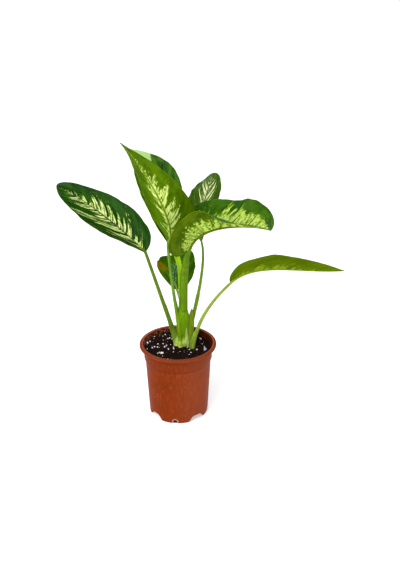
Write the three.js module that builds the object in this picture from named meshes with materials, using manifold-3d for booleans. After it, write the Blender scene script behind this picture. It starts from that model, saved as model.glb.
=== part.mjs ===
// A young dieffenbachia in a plastic nursery pot.
// Millimetres, +Z up. The origin is the middle of the pot's flat base, and -Y is the front.
import * as THREE from "three";
import { mergeVertices } from "three/addons/utils/BufferGeometryUtils.js";
import Module from "manifold-3d";

const wasm = await Module();
wasm.setup();

// Driving dimensions of the pot
const potHeight = 120;
const rimRadius = 60;
const rimInnerRadius = 54.4;
const lipHeight = 5;
const bandRadius = 53.2;
const bandHeight = 26;
const bandStep = 0.9;
const baseRadius = 46.8;
const wall = 1.6;
const floorThickness = 2.2;
const footCount = 4;
const footTurn = -5.5;
const archBottomHalfWidth = 15.5;
const archTopHalfWidth = 9.5;
const archHeight = 10;
const archInnerReach = 24;
const archShoulder = 1.5;
const archCorner = 4;
const archSwell = 0.3;
const notchHalfWidth = 3.6;
const notchHeight = 7;
const notchInnerReach = 38;
const footRound = 0.8;
const bandRound = 0.6;
const lipRound = 1.8;
const rimChamfer = 0.8;
const potSegments = 48;
const overlap = 1;

// Driving dimensions of the soil and the stem
const clearance = 0.3;
const soilBelowRim = 8;
const soilRadius = 51;
const soilMound = 1.5;
const soilRoughness = 1;
const soilCapFoot = 106;
const soilCapRings = 6;
const soilEdge = 0.6;
const soilFlatEdge = 1;
const soilSegments = 32;
const grainCount = 56;
const smallestGrain = 1.1;
const largestGrain = 3;
const grainFlatness = 0.8;
const grainMargin = 4;
const grainSink = 0.25;
const grainSeed = 7;
const stemAxis = [8, 9];
const stemReach = 13.5;
const stemFoot = 90;
const stemTop = 158;
const stemRadii = [9, 12.6, 11.6, 10.1, 8.7];
const stemLobes = 3;
const stemLobeShare = 0.05;
const stemSides = 16;
const stemRings = 12;

// Driving dimensions that all leaves share
const bladeThickness = 0.8;
const bladeTipWidth = 0.7;
const bladeRings = 13;
const bladeCrowding = 1.35;
const bladeCells = 6;
const waveShift = 2.1;
const neckPlace = 0.6;
const ribTaper = 0.72;
const stalkSides = 6;
const stalkRings = 18;

const mergeDistance = 1e-4;

const colours = {
  terracotta: 0xa24a24,
  compost: 0x1d1210,
  stem: 0x86ad2c,
  leaf: 0x24610f,
};

// Each leaf: the stalk and the midrib as cubic curves, then the blade about its midrib.
// face is where the upper side looks at the base, and twist turns it along the midrib in degrees.
// widest, blunt and point shape the outline. folds are degrees at the base and at the tip.
const leaves = [
  {
    name: "leaf_left",
    stalk: [[-2, 6, 120], [-17, 5, 168], [-36, 15, 227], [-49, 34, 257]],
    rib: [[-49, 34, 257], [-82, 59, 283], [-142, 44, 343], [-187, 86, 347]],
    radii: [3.6, 2.3, 1.9],
    face: [0.21, -0.65, 0.73],
    twist: -45,
    halfWidth: 38,
    widest: 0.39,
    blunt: 0.6,
    point: 0.73,
    foldRight: [40, 49],
    foldLeft: [31, 19],
    curl: [-20, 43],
    wave: [1.2, 2.6, 0.1],
  },
  {
    name: "leaf_tall",
    stalk: [[4, -0.5, 134], [-2, 2, 172], [-14, 10, 258], [-12, -9, 289]],
    rib: [[-12, -9, 289], [7, -37, 318], [-42, -52, 416], [-64, -99, 451]],
    radii: [2.4, 1.8, 2],
    face: [0.15, 0.98, 0.14],
    twist: -28,
    halfWidth: 41,
    widest: 0.37,
    blunt: 1.25,
    point: 1.06,
    foldRight: [20, 18],
    foldLeft: [21, 6],
    curl: [23, -2],
    wave: [1, 2.2, 0.3],
  },
  {
    name: "leaf_back",
    stalk: [[4, 18, 136], [3, 20, 190], [9, 14, 250], [-5, 15, 265]],
    rib: [[-5, 15, 265], [-14, 26, 333], [-32, 42, 378], [-68, 65, 408]],
    radii: [2.6, 2.4, 2],
    face: [0.12, -0.77, 0.63],
    twist: 9,
    halfWidth: 36,
    widest: 0.55,
    blunt: 0.71,
    point: 1.03,
    foldRight: [19, 15],
    foldLeft: [18, 19],
    curl: [12, 18],
    wave: [1.2, 2.4, 0.6],
  },
  {
    name: "leaf_arching",
    stalk: [[8, 9, 132], [9, 9, 205], [9, 3, 255], [19, -10, 276]],
    rib: [[19, -10, 276], [28, -61, 336], [101, -57, 332], [121, -147, 354]],
    radii: [7.4, 5.9, 2.8],
    face: [-0.87, 0.49, 0.04],
    twist: -58,
    halfWidth: 52,
    widest: 0.4,
    blunt: 0.45,
    point: 0.63,
    foldRight: [30, 46],
    foldLeft: [51, 10],
    curl: [-12, 28],
    wave: [1, 2.2, 0.2],
  },
  {
    name: "leaf_small",
    stalk: [[16, 15, 128], [23, 14, 150], [46, 20, 245], [37, 25, 275]],
    rib: [[37, 25, 275], [30, 31, 323], [49, 48, 350], [53, 91, 365]],
    radii: [3, 2, 1.6],
    face: [-0.15, -0.76, 0.63],
    twist: -16,
    halfWidth: 27,
    widest: 0.57,
    blunt: 0.8,
    point: 0.62,
    foldRight: [22, 12],
    foldLeft: [16, 5],
    curl: [13, -20],
    wave: [1.2, 2.2, 0.4],
  },
  {
    name: "leaf_right",
    stalk: [[22.4, -2, 104], [20, -8, 128], [25, -16, 176], [80, -21, 230]],
    rib: [[80, -21, 230], [114, -31, 270], [178, -58, 259], [234, -68, 268]],
    radii: [3, 2.1, 1.8],
    face: [-0.17, 0.12, 0.98],
    twist: -21,
    halfWidth: 26,
    widest: 0.47,
    blunt: 0.58,
    point: 0.9,
    foldRight: [56, 54],
    foldLeft: [6, 8],
    curl: [3, 0],
    wave: [1, 2.4, 0.1],
  },
  {
    name: "leaf_low",
    stalk: [[9, 18, 124], [9, 24, 150], [4, 34, 178], [-2, 39, 192]],
    rib: [[-2, 39, 192], [-19, 88, 220], [15, 98, 209], [6, 154, 228]],
    radii: [2.6, 2, 1.8],
    face: [0.16, -0.33, 0.93],
    twist: -43,
    halfWidth: 33,
    widest: 0.37,
    blunt: 0.48,
    point: 0.97,
    foldRight: [2, 17],
    foldLeft: [25, -2],
    curl: [0, 30],
    wave: [1, 2.2, 0.5],
  },
];

// A geometry with places only, and the places that coincide made one.
function joinedPlaces(geometry) {
  const bare = geometry.clone();
  bare.deleteAttribute("normal");
  bare.deleteAttribute("uv");
  return mergeVertices(bare, mergeDistance);
}

// A closed geometry as a solid that can be cut and joined.
function solid(geometry) {
  const merged = joinedPlaces(geometry);
  return new wasm.Manifold(
    new wasm.Mesh({
      numProp: 3,
      vertProperties: merged.attributes.position.array,
      triVerts: new Uint32Array(merged.index.array),
    }),
  );
}

// A named mesh of a solid, in one colour.
function piece(name, body, colour, roughness) {
  const mesh = body.getMesh();
  const geometry = new THREE.BufferGeometry();
  geometry.setAttribute("position", new THREE.BufferAttribute(mesh.vertProperties, 3));
  geometry.setIndex(new THREE.BufferAttribute(mesh.triVerts, 1));
  geometry.computeVertexNormals();
  const material = new THREE.MeshStandardMaterial({ color: colour, roughness, metalness: 0 });
  const made = new THREE.Mesh(geometry, material);
  made.name = name;
  return made;
}

// Points of a quarter round in a profile, from one angle to the next, in quarter turns.
function quarter(centreRadius, centreHeight, round, start) {
  const steps = 2;
  const points = [];
  for (let i = 0; i <= steps; i += 1) {
    const angle = (Math.PI / 2) * (start + i / steps);
    points.push([centreRadius + round * Math.cos(angle), centreHeight + round * Math.sin(angle)]);
  }
  return points;
}

// A profile of [radius, height] pairs turned round the Z axis.
function turned(profile, segments) {
  const points = profile.map(([radius, height]) => new THREE.Vector2(radius, height));
  return new THREE.LatheGeometry(points, segments).rotateX(Math.PI / 2);
}

// The shape of an arch between two feet, grown by a margin, standing on the base plane.
function archShape(margin) {
  const bottom = archBottomHalfWidth + margin;
  const top = archTopHalfWidth + margin;
  const height = archHeight + margin;
  const shoulder = top + archShoulder;
  const corner = top - archCorner;
  const swell = height * archSwell;
  const shape = new THREE.Shape();
  shape.moveTo(-bottom, -overlap);
  shape.lineTo(bottom, -overlap);
  shape.lineTo(bottom, 0);
  shape.bezierCurveTo(shoulder, swell, shoulder, height, corner, height);
  shape.lineTo(-corner, height);
  shape.bezierCurveTo(-shoulder, height, -shoulder, swell, -bottom, 0);
  return shape;
}

// The shape of a drain notch: straight sides and a round top.
function notchShape() {
  const shape = new THREE.Shape();
  shape.moveTo(-notchHalfWidth, -overlap);
  shape.lineTo(notchHalfWidth, -overlap);
  shape.absarc(0, notchHeight - notchHalfWidth, notchHalfWidth, 0, Math.PI, false);
  return shape;
}

// Copies of a shape pushed outwards from a radius, one for each foot, turned by an angle in degrees.
function aroundBase(shape, fromRadius, turn) {
  const pushed = new THREE.ExtrudeGeometry(shape, {
    depth: rimRadius - fromRadius,
    bevelEnabled: false,
    curveSegments: 5,
    steps: 1,
  });
  pushed.rotateX(Math.PI / 2).translate(0, -fromRadius, 0);
  let joined = null;
  for (let k = 0; k < footCount; k += 1) {
    const angle = THREE.MathUtils.degToRad(turn + (360 / footCount) * k);
    const copy = solid(pushed.clone().rotateZ(angle));
    joined = joined ? joined.add(copy) : copy;
  }
  return joined;
}

// Radius of the pot's outer wall at a height.
function outerRadius(height) {
  const bandFoot = potHeight - bandHeight;
  const neck = bandRadius - bandStep - bandRound;
  return baseRadius + (neck - baseRadius) * (height / bandFoot);
}

// The space inside the pot, shrunk by a margin, over the raised floor of the arches.
function potInside(margin, topHeight) {
  const bandFoot = potHeight - bandHeight;
  const bottom = floorThickness + margin;
  const profile = [
    [0, bottom],
    [baseRadius - wall - margin, bottom],
    [outerRadius(bandFoot) - wall - margin, bandFoot],
    [bandRadius - wall - margin, potHeight - lipHeight],
    [rimInnerRadius - margin, potHeight - rimChamfer],
    [rimInnerRadius - margin + rimChamfer, potHeight + overlap],
    [0, potHeight + overlap],
  ];
  const archTurn = footTurn + 180 / footCount;
  const covers = aroundBase(archShape(wall + margin), archInnerReach - wall - margin, archTurn);
  const inside = solid(turned(profile, potSegments)).subtract(covers);
  if (topHeight === undefined) {
    return inside;
  }
  const lid = new THREE.BoxGeometry(4 * rimRadius, 4 * rimRadius, potHeight);
  lid.translate(0, 0, topHeight + potHeight / 2);
  return inside.subtract(solid(lid));
}

function pot() {
  const bandFoot = potHeight - bandHeight;
  const lipFoot = potHeight - lipHeight;
  const profile = [
    [0, 0],
    ...quarter(baseRadius - footRound, footRound, footRound, -1),
    [outerRadius(bandFoot), bandFoot],
    [bandRadius - bandRound, bandFoot + bandStep],
    [bandRadius, lipFoot],
    ...quarter(rimRadius - lipRound, lipFoot + lipRound, lipRound, -1),
    ...quarter(rimRadius - lipRound, potHeight - lipRound, lipRound, 0),
    [0, potHeight],
  ];
  const arches = aroundBase(archShape(0), archInnerReach, footTurn + 180 / footCount);
  const notches = aroundBase(notchShape(), notchInnerReach, footTurn);
  return solid(turned(profile, potSegments))
    .subtract(arches)
    .subtract(potInside(0))
    .subtract(notches);
}

// Repeatable draws between 0 and 1.
function drawer(seed) {
  const factor = 16807;
  const range = 2147483647;
  let state = seed;
  return () => {
    state = (state * factor) % range;
    return state / range;
  };
}

// Height of the soil's top at a radius: a low mound towards the middle.
function soilTop(radius) {
  const fall = Math.min(radius / soilRadius, 1);
  return potHeight - soilBelowRim - soilMound * fall ** 2;
}

// A lumpy grain that sits in the surface of the soil, or null where it would touch the stem.
function grain(draw) {
  const fullTurn = 2 * Math.PI;
  const size = smallestGrain + (largestGrain - smallestGrain) * draw() ** 2;
  const angle = fullTurn * draw();
  const reach = (soilRadius - grainMargin) * Math.sqrt(draw());
  const lump = new THREE.IcosahedronGeometry(size, 0);
  lump.rotateX(fullTurn * draw()).rotateY(fullTurn * draw());
  lump.scale(1, THREE.MathUtils.lerp(grainFlatness, 1, draw()), grainFlatness);
  const x = reach * Math.cos(angle);
  const y = reach * Math.sin(angle);
  lump.translate(x, y, soilTop(reach) - grainSink * size);
  const beside = Math.hypot(x - stemAxis[0], y - stemAxis[1]) > stemReach + size;
  return beside ? solid(lump) : null;
}

// The top of the soil, with its lumps, as a thick disc.
function soilCap(draw) {
  const profile = [[0, soilCapFoot], [soilRadius - soilEdge, soilCapFoot]];
  for (let i = soilCapRings; i >= 0; i -= 1) {
    const radius = (soilRadius * i) / soilCapRings;
    profile.push([radius, soilTop(radius)]);
  }
  const cap = joinedPlaces(turned(profile, soilSegments));
  const position = cap.attributes.position;
  for (let i = 0; i < position.count; i += 1) {
    const radius = Math.hypot(position.getX(i), position.getY(i));
    const onTop = position.getZ(i) > soilCapFoot + overlap;
    if (onTop && radius < soilRadius - soilFlatEdge) {
      position.setZ(i, position.getZ(i) + soilRoughness * (draw() - 0.5));
    }
  }
  return solid(cap);
}

// The filling of the pot, with grains in its top and holes for the stem and the outer stalk.
function soil() {
  const draw = drawer(grainSeed);
  let body = potInside(clearance, soilCapFoot + overlap).add(soilCap(draw));
  for (let i = 0; i < grainCount; i += 1) {
    const lump = grain(draw);
    body = lump ? body.add(lump) : body;
  }
  body = body.subtract(stemColumn(clearance));
  for (const leaf of leaves) {
    body = body.subtract(socket(leaf));
  }
  return body;
}

function vector(values) {
  return new THREE.Vector3(...values);
}

function cubic(points) {
  return new THREE.CubicBezierCurve3(...points.map(vector));
}

// A round bar bent along a curve, with its radius given along the curve by a function of 0 to 1.
function bar(curve, radiusAt, sides, rings) {
  const frames = curve.computeFrenetFrames(rings, false);
  const made = joinedPlaces(new THREE.CylinderGeometry(1, 1, 1, sides, rings));
  const position = made.attributes.position;
  for (let i = 0; i < position.count; i += 1) {
    const ring = Math.round((position.getY(i) + 0.5) * rings);
    const share = ring / rings;
    const centre = curve.getPointAt(share);
    const angle = Math.atan2(position.getX(i), position.getZ(i));
    const reach = Math.hypot(position.getX(i), position.getZ(i)) * radiusAt(share, angle);
    centre.addScaledVector(frames.normals[ring], reach * Math.cos(angle));
    centre.addScaledVector(frames.binormals[ring], -reach * Math.sin(angle));
    position.setXYZ(i, centre.x, centre.y, centre.z);
  }
  const body = solid(made);
  return body.volume() < 0 ? solid(flipped(made)) : body;
}

// The same geometry with its faces turned round.
function flipped(geometry) {
  const index = geometry.index.array;
  for (let i = 0; i < index.length; i += 3) {
    [index[i + 1], index[i + 2]] = [index[i + 2], index[i + 1]];
  }
  return geometry;
}

// The stalk and the midrib of a leaf as one bar, grown by a margin.
function stalkBar(leaf, margin) {
  const path = new THREE.CurvePath();
  const stalk = cubic(leaf.stalk);
  const rib = cubic(leaf.rib);
  path.add(stalk);
  path.add(rib);
  const split = stalk.getLength() / (stalk.getLength() + rib.getLength());
  const [foot, neck, base] = leaf.radii;
  const radiusAt = (share) => {
    const along = Math.min(share / split, 1);
    const out = Math.max((share - split) / (1 - split), 0);
    const stalkRadius = along < neckPlace
      ? foot + (neck - foot) * (along / neckPlace)
      : neck + (base - neck) * ((along - neckPlace) / (1 - neckPlace));
    return stalkRadius * (1 - ribTaper * out) + margin;
  };
  return bar(path, radiusAt, stalkSides, stalkRings);
}

// Share of the full half width at t along the midrib.
function outline(leaf, t) {
  const u = Math.min(Math.max(t, 1e-6), 1) ** (Math.log(0.5) / Math.log(leaf.widest));
  const power = u < 0.5 ? leaf.blunt : leaf.point;
  return Math.max(Math.sin(Math.PI * u), 0) ** power;
}

// A point of the blade, t along the midrib and s from -1 to 1 across it, lifted off its middle layer.
function bladePoint(leaf, rib, t, s, lift) {
  const along = rib.getTangent(t);
  const side = new THREE.Vector3().crossVectors(along, vector(leaf.face)).normalize();
  side.applyAxisAngle(along, THREE.MathUtils.degToRad(leaf.twist * t));
  const up = new THREE.Vector3().crossVectors(side, along);
  const reach = Math.abs(s);
  const hand = s < 0 ? -1 : 1;
  const [foldBase, foldTip] = s < 0 ? leaf.foldLeft : leaf.foldRight;
  const curl = leaf.curl[s < 0 ? 1 : 0];
  const fold = foldBase + (foldTip - foldBase) * t;
  const angle = THREE.MathUtils.degToRad(fold + (curl * reach) / 2);
  const lean = s === 0 ? 0 : THREE.MathUtils.degToRad(fold + curl * reach);
  const width = Math.max(leaf.halfWidth * outline(leaf, t), bladeTipWidth);
  const [height, count, phase] = leaf.wave;
  const ripple = Math.sin(2 * Math.PI * (count * t + phase) + (s < 0 ? waveShift : 0));
  const wave = height * reach ** 2 * ripple * Math.sin(Math.PI * t);
  const point = rib.getPoint(t);
  point.addScaledVector(side, hand * (width * reach * Math.cos(angle) - lift * Math.sin(lean)));
  point.addScaledVector(up, width * reach * Math.sin(angle) + wave + lift * Math.cos(lean));
  return point;
}

// The blade as a closed sheet, split into triangles alike on both faces.
function blade(leaf) {
  const rib = cubic(leaf.rib);
  const across = bladeCells + 1;
  const layer = (bladeRings + 1) * across;
  const places = [];
  for (const lift of [bladeThickness / 2, -bladeThickness / 2]) {
    for (let i = 0; i <= bladeRings; i += 1) {
      for (let j = 0; j <= bladeCells; j += 1) {
        const s = (2 * j) / bladeCells - 1;
        const t = (i / bladeRings) ** bladeCrowding;
        places.push(...bladePoint(leaf, rib, t, s, lift).toArray());
      }
    }
  }
  const index = [];
  for (let i = 0; i < bladeRings; i += 1) {
    for (let j = 0; j < bladeCells; j += 1) {
      const a = i * across + j;
      const b = a + 1;
      const c = a + across;
      const d = c + 1;
      index.push(a, b, d, a, d, c);
      index.push(layer + a, layer + d, layer + b, layer + a, layer + c, layer + d);
    }
  }
  const edge = [];
  for (let j = 0; j < bladeCells; j += 1) edge.push(j);
  for (let i = 0; i < bladeRings; i += 1) edge.push(i * across + bladeCells);
  for (let j = bladeCells; j > 0; j -= 1) edge.push(bladeRings * across + j);
  for (let i = bladeRings; i > 0; i -= 1) edge.push(i * across);
  edge.forEach((from, k) => {
    const to = edge[(k + 1) % edge.length];
    index.push(from, layer + from, layer + to, from, layer + to, to);
  });
  const sheet = new THREE.BufferGeometry();
  sheet.setAttribute("position", new THREE.Float32BufferAttribute(places, 3));
  sheet.setIndex(index);
  return solid(sheet);
}

// The short cane with the sheaths of the leaves wrapped round it, swollen at the soil.
function stemColumn(margin) {
  const axis = new THREE.LineCurve3(
    vector([...stemAxis, stemFoot - margin]),
    vector([...stemAxis, stemTop]),
  );
  const waist = new THREE.SplineCurve(stemRadii.map((radius, i) => new THREE.Vector2(radius, i)));
  const radiusAt = (share, angle) => {
    const lobe = 1 + stemLobeShare * Math.cos(stemLobes * angle);
    return waist.getPoint(share).x * lobe + margin;
  };
  return bar(axis, radiusAt, stemSides, stemRings);
}

// The socket that a stalk stands in, with a round end under its foot.
function socket(leaf) {
  const end = new THREE.IcosahedronGeometry(leaf.radii[0], 1);
  end.translate(...leaf.stalk[0]);
  return stalkBar(leaf, clearance).add(solid(end));
}

function stem() {
  let body = stemColumn(0);
  for (const leaf of leaves) {
    body = body.subtract(socket(leaf));
  }
  return body;
}

const plant = new THREE.Group();
plant.add(piece("pot", pot(), colours.terracotta, 0.55));
plant.add(piece("soil", soil(), colours.compost, 0.95));
plant.add(piece("stem", stem(), colours.stem, 0.5));
for (const leaf of leaves) {
  const body = blade(leaf).add(stalkBar(leaf, 0));
  plant.add(piece(leaf.name, body, colours.leaf, 0.4));
}

export default plant;
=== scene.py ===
"""A young dieffenbachia in a plastic nursery pot.

Lengths are metres and +Z is up. The origin is the middle of the pot's flat base, and -Y is the front.
"""

import math
import random

import bmesh
import bpy
from bpy.props import FloatProperty, FloatVectorProperty, IntProperty, PointerProperty
from bpy.types import NodeSocket, Operator, Panel, PropertyGroup
from mathutils import Matrix, Quaternion, Vector, noise


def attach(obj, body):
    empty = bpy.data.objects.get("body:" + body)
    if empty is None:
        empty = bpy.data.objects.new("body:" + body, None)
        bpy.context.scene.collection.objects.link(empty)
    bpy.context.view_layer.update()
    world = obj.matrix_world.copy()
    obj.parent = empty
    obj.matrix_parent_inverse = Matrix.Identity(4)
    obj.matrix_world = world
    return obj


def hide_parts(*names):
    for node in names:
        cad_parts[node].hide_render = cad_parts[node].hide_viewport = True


bl_info = {
    "name": "Potted dieffenbachia",
    "version": (1, 0, 0),
    "blender": (4, 5, 0),
    "location": "View3D > Sidebar > Plant",
    "description": "Builds a young variegated dieffenbachia in a nursery pot",
    "category": "Add Mesh",
}

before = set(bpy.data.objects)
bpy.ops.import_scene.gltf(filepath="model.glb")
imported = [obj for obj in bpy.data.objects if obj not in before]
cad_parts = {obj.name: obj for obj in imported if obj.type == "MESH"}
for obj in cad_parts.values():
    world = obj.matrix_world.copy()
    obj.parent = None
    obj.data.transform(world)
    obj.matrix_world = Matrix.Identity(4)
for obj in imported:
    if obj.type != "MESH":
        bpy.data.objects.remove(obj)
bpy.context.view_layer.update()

MM = 0.001
MERGE = 1e-6
FULL_TURN = 2 * math.pi
FOOT_COUNT = 4
POT_SEGMENTS = 144
SOIL_SEGMENTS = 160
SOIL_RINGS = 62
CANE_SEGMENTS = 120
CANE_ROWS = 74
SHEATH_SIDES = 26
SHEATH_RINGS = 40
STALK_SIDES = 22
STALK_RINGS = 46
RIB_RINGS = 58
BLADE_ROWS = 110
BLADE_COLUMNS = 56

# Each leaf has a stalk and a midrib, both cubic curves in millimetres, and a blade about its midrib.
# rib: the three points that follow the stalk's end.
# radii: the stalk's radii at its foot, its neck and the blade, in millimetres.
# sheath and wing: the share of the stalk with thin wings, and how far they stand out in millimetres.
# clasp: how far up its foot the stalk is broader across, and by how much.
# face and twist: where the blade's upper side looks at its base, and its turn along the midrib in degrees.
# half_width and outline: in millimetres, then where it is widest, how blunt the base and how fine the tip.
# fold_right and fold_left: how far each half is raised at the base and at the tip, in degrees.
# curl: how much further the right and the left margin turn. wave: height in millimetres, count and start.
# cream: where the pale feathering starts, begins to fade and ends, and its reach to the right and left.
# floor: the least height of its plumes. streaky: how far it is split into streaks, right and left.
# sweep: how far the side veins run towards the tip, right and left. pale: its outer and inner tones, on
# leaf_low a bluish grey painted glare.
# upper and under: the dark and the bright tone of each side; the darker under tones of leaf_tall and
# leaf_arching are painted shade. Then the midrib's darker tone underneath, which is painted shade.
# gloss: the wax on the upper side.
# Then where a pale green painted glare on the tip starts. blemish: the middle of a brown spot, in
# millimetres.
LEAVES = {
    "leaf_left": dict(
        stalk=((-2, 6, 120), (-17, 5, 168), (-36, 15, 227), (-49, 34, 257)),
        rib=((-82, 59, 283), (-142, 44, 343), (-187, 86, 347)),
        radii=(3.8, 2.7, 2.4), sheath=0.42, wing=1.3, clasp=(0.2, 0.3),
        face=(0.21, -0.65, 0.73), twist=-45, half_width=38, outline=(0.39, 0.6, 0.73),
        fold_right=(40, 49), fold_left=(31, 19), curl=(-20, 43), wave=(2, 3.2, 0.1),
        cream=(0, 0.5, 0.92, 0.58, 0.64), floor=-0.1, streaky=(0, 1), sweep=(0.22, 0.5),
        upper=((11, 50, 0), (36, 80, 10)), pale=((152, 192, 54), (234, 246, 162)),
        stalk_tone=(90, 120, 18), gloss=0.08, seed=3,
    ),
    "leaf_tall": dict(
        stalk=((4, -0.5, 134), (-2, 2, 172), (-14, 10, 258), (-12, -9, 289)),
        rib=((7, -37, 318), (-42, -52, 416), (-64, -99, 451)),
        radii=(2.8, 2.3, 2.1), sheath=0.35, wing=1.4, clasp=(0.3, 0.35),
        face=(0.15, 0.98, 0.14), twist=-28, half_width=41, outline=(0.37, 1.25, 1.06),
        fold_right=(20, 18), fold_left=(21, 6), curl=(23, -2), wave=(1, 2.2, 0.3),
        cream=(-0.3, 0.3, 0.86, 0.42, 0.66),
        # Its darker underside tones are painted shade.
        upper=((24, 66, 2), (50, 96, 10)), under=((60, 92, 0), (84, 114, 3)),
        stalk_tone=(100, 138, 30), seed=11,
    ),
    "leaf_back": dict(
        stalk=((4, 18, 136), (3, 20, 190), (9, 14, 250), (-5, 15, 265)),
        rib=((-14, 26, 333), (-32, 42, 378), (-68, 65, 408)),
        radii=(2.4, 3.3, 2.6), sheath=0.95, wing=4.2, clasp=(0.3, 0.8),
        face=(0.12, -0.77, 0.63), twist=9, half_width=36, outline=(0.55, 0.71, 1.03),
        fold_right=(19, 15), fold_left=(18, 19), curl=(12, 18), wave=(1.2, 2.4, 0.6),
        # The pale green on its tip is painted glare.
        cream=(0.1, 0.37, 0.7, 0.3, 0.6), glare_start=0.72,
        upper=((24, 66, 0), (72, 116, 26)),
        stalk_tone=(160, 200, 30), gloss=0.02, seed=19,
    ),
    "leaf_arching": dict(
        stalk=((8, 9, 132), (9, 9, 205), (9, 3, 255), (19, -10, 276)),
        rib=((28, -61, 336), (101, -57, 332), (121, -147, 354)),
        radii=(7.4, 5.9, 2.8), sheath=0.62, wing=1.5, clasp=(0.16, 0.45),
        face=(-0.87, 0.49, 0.04), twist=-58, half_width=52, outline=(0.4, 0.45, 0.63),
        fold_right=(30, 46), fold_left=(51, 10), curl=(-12, 28), wave=(1, 2.2, 0.2),
        cream=(-0.04, 0.75, 1.02, 0.54, 0.72), floor=0.75, sweep=(0.12, 0.12),
        # Its darker underside tones are painted shade.
        upper=((36, 78, 0), (62, 104, 6)), under=((52, 76, 0), (82, 106, 4)),
        # Its darker midrib tone underneath is painted shade.
        pale=((114, 148, 18), (186, 212, 92)), rib_shade_tone=(86, 108, 6),
        # Its stalk tone is its own green, darkened in part as painted shade under the blade.
        stalk_tone=(92, 129, 0), seed=27,
    ),
    "leaf_small": dict(
        stalk=((16, 15, 128), (23, 14, 150), (46, 20, 245), (37, 25, 275)),
        rib=((30, 31, 323), (49, 48, 350), (53, 91, 365)),
        radii=(3.4, 2.3, 1.6), sheath=0.5, wing=2.2, clasp=(0.34, 0.3),
        face=(-0.15, -0.76, 0.63), twist=-16, half_width=27, outline=(0.57, 0.8, 0.62),
        fold_right=(22, 12), fold_left=(16, 5), curl=(13, -20), wave=(1.2, 2.2, 0.4),
        cream=(0.1, 0.6, 0.9, 0.58, 0.52), streaky=(1, 1), sweep=(0.55, 0.55),
        upper=((44, 74, 2), (62, 94, 14)), pale=((170, 196, 84), (240, 246, 186)),
        stalk_tone=(106, 140, 28), seed=35,
    ),
    "leaf_right": dict(
        stalk=((22.4, -2, 104), (25, -8, 130), (30, -16, 178), (80, -21, 230)),
        rib=((114, -31, 270), (178, -58, 259), (234, -68, 268)),
        radii=(3.4, 2.8, 2.1), sheath=0.4, wing=1.1, clasp=(0.1, 0),
        face=(-0.17, 0.12, 0.98), twist=-21, half_width=26, outline=(0.47, 0.58, 0.9),
        fold_right=(56, 54), fold_left=(6, 8), curl=(3, 0), wave=(1, 2.4, 0.1),
        cream=(0.05, 0.55, 0.9, 0.26, 0.6),
        upper=((30, 72, 2), (60, 104, 8)), under=((73, 94, 0), (84, 106, 2)),
        pale=((108, 130, 14), (140, 158, 44)),
        stalk_tone=(132, 156, 50), seed=43,
    ),
    "leaf_low": dict(
        stalk=((9, 18, 124), (9, 24, 150), (4, 34, 178), (-2, 39, 192)),
        rib=((-19, 88, 220), (15, 98, 209), (6, 154, 228)),
        radii=(2.6, 2, 1.8), sheath=0.3, wing=0.8, clasp=(0.3, 0.6),
        face=(0.16, -0.33, 0.93), twist=-43, half_width=33, outline=(0.37, 0.48, 0.97),
        fold_right=(2, 17), fold_left=(25, -2), curl=(0, 30), wave=(1, 2.2, 0.5),
        cream=(-0.1, 0.3, 0.7, 0.12, 0.42), streaky=(1, 1), blemish=(-30, 70, 221),
        # Its bluish grey pale streaks are painted glare along the veins.
        upper=((38, 78, 0), (66, 108, 2)), pale=((112, 146, 118), (138, 176, 150)),
        stalk_tone=(110, 150, 28), gloss=0, seed=51,
    ),
}

# Sheaths that run from the soil up the cane: a cubic curve in millimetres, half widths along it,
# thickness, where its outer side looks, the tones at the foot and at the top,
# and how far the top is drawn to a point. dry: the heights where a dry tip starts and is brown.
SHEATHS = {
    "left_sheath": dict(
        path=((-4.5, 6.5, 109), (-6, 5, 128), (-10, 6, 148), (-17, 8.2, 163)),
        widths=(2.4, 3.6, 6.2, 2.2), depth=1.5, faces=(-0.3, -1, 0.1),
        foot=(154, 176, 80), top=(102, 134, 18), pointed=0,
    ),
    "right_sheath": dict(
        path=((21.4, -3.6, 108), (22.9, -5.9, 120), (25.3, -9.3, 132), (28.6, -12.6, 148)),
        widths=(3.8, 5, 4.2, 2.4), depth=1.6, faces=(0.3, -1, 0.2),
        foot=(126, 150, 44), top=(132, 158, 46), pointed=0,
    ),
    "small_sheath": dict(
        path=((17.6, 0, 109), (19.2, 2.2, 128), (21.6, 6.6, 150), (22, 10.6, 172)),
        widths=(4.2, 5, 7.6, 4.6), depth=1.3, faces=(0.35, -1, 0.1),
        foot=(116, 142, 26), top=(110, 134, 22), pointed=0.35, dry=(0.157, 0.174),
    ),
    "pale_membrane": dict(
        path=((14.6, -3, 109), (15.6, -3.6, 113), (16.2, -3.4, 118), (17, -2.8, 123)),
        widths=(1.6, 1.6, 1.2, 0.7), depth=0.5, faces=(0.4, -1, 0),
        foot=(190, 206, 130), top=(156, 184, 74), pointed=1,
    ),
    "pale_edge": dict(
        path=((-2.4, 3.2, 111), (-2.6, 3, 117), (-2.2, 2.6, 123), (-1.4, 2.4, 130)),
        widths=(0.6, 0.9, 0.8, 0.5), depth=0.6, faces=(-0.6, -1, 0),
        foot=(196, 206, 140), top=(176, 196, 110), pointed=1,
    ),
}

# The largest grains of perlite in millimetres: across, back and size.
LARGE_GRAINS = (
    (-24.0, -20.7, 2.6), (-27.8, -19.3, 2.1), (-48.2, 8.6, 1.9), (-44.6, 12.6, 1.7),
    (-31.7, 5.9, 1.3), (-32.0, -2.8, 1.3), (-39.7, -4.7, 1.2), (-25.1, 31.1, 1.1),
    (-14.1, 25.8, 1.3), (-5.9, 4.9, 1.1), (-7.0, -4.2, 1.1), (-20.8, -2.3, 1.5),
    (-18.2, 2.3, 1.2), (-14.6, -8.8, 1.7), (-6.6, -18.2, 1.2), (18.4, -10.2, 1.0),
    (29.7, -9.7, 1.7), (17.9, -25.4, 1.0), (34.4, 29.4, 1.0),
)

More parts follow.
